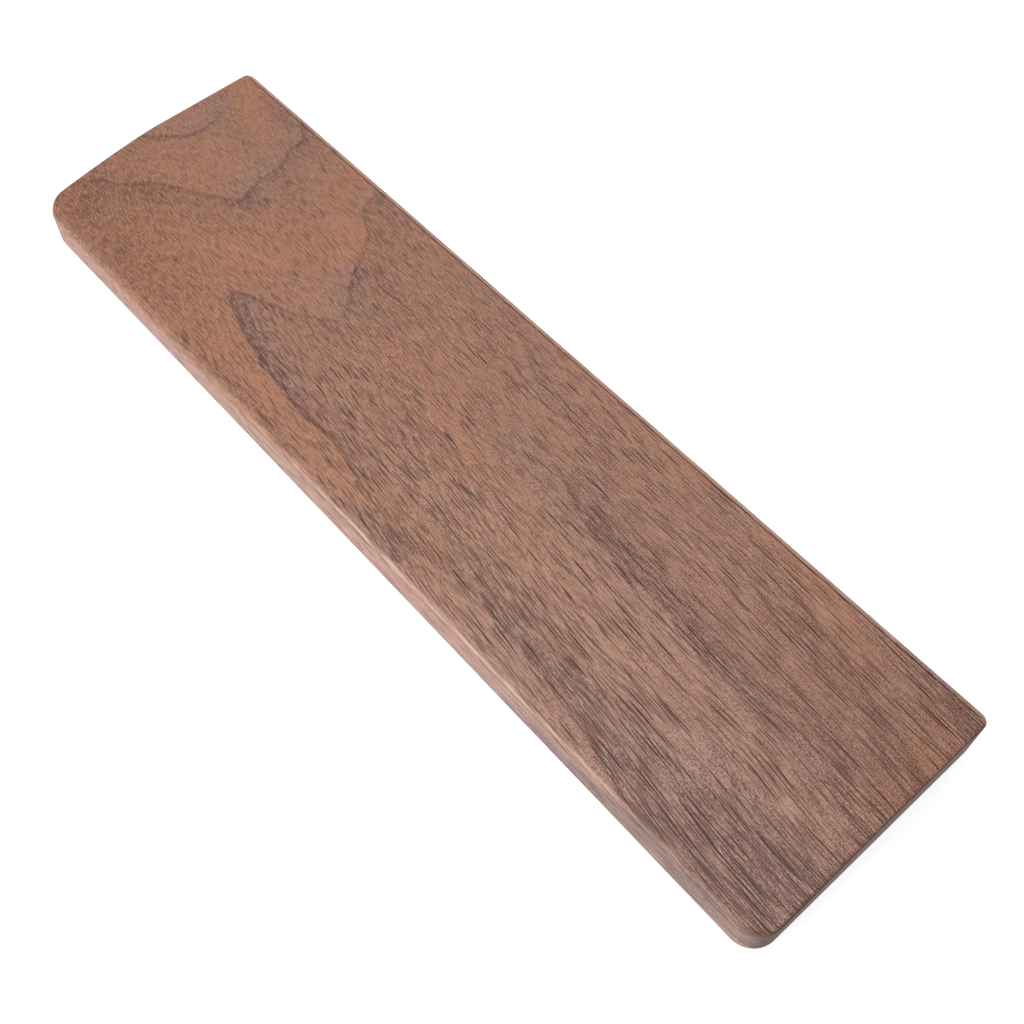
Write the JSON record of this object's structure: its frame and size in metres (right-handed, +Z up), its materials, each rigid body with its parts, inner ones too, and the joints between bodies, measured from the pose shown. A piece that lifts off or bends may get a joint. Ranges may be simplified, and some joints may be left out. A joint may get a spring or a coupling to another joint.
{
  "type": "wrist rest",
  "caption": "Long walnut wrist rest for a compact keyboard, level at the keyboard side and curving down to a lower front, on round anti-slip feet.",
  "frame": {"origin": "on the desk, under the middle of the block", "axes": "+X along the length to the user's right, +Y from the user towards the keyboard, +Z up"},
  "size_m": [0.3, 0.08, 0.019],
  "materials": {
    "walnut": "open-pored American walnut, sanded smooth, with a thin satin oil finish",
    "rubber": "matt black moulded silicone rubber",
    "adhesive": "thin double-sided acrylic adhesive film"
  },
  "bodies": {
    "root": {"walnut_block": "walnut", "foot_front_left": "rubber", "foot_front_middle": "rubber", "foot_front_right": "rubber", "foot_rear_left": "rubber", "foot_rear_middle": "rubber", "foot_rear_right": "rubber", "adhesive_front_left": "adhesive", "adhesive_front_middle": "adhesive", "adhesive_front_right": "adhesive", "adhesive_rear_left": "adhesive", "adhesive_rear_middle": "adhesive", "adhesive_rear_right": "adhesive"}
  },
  "joints": []
}
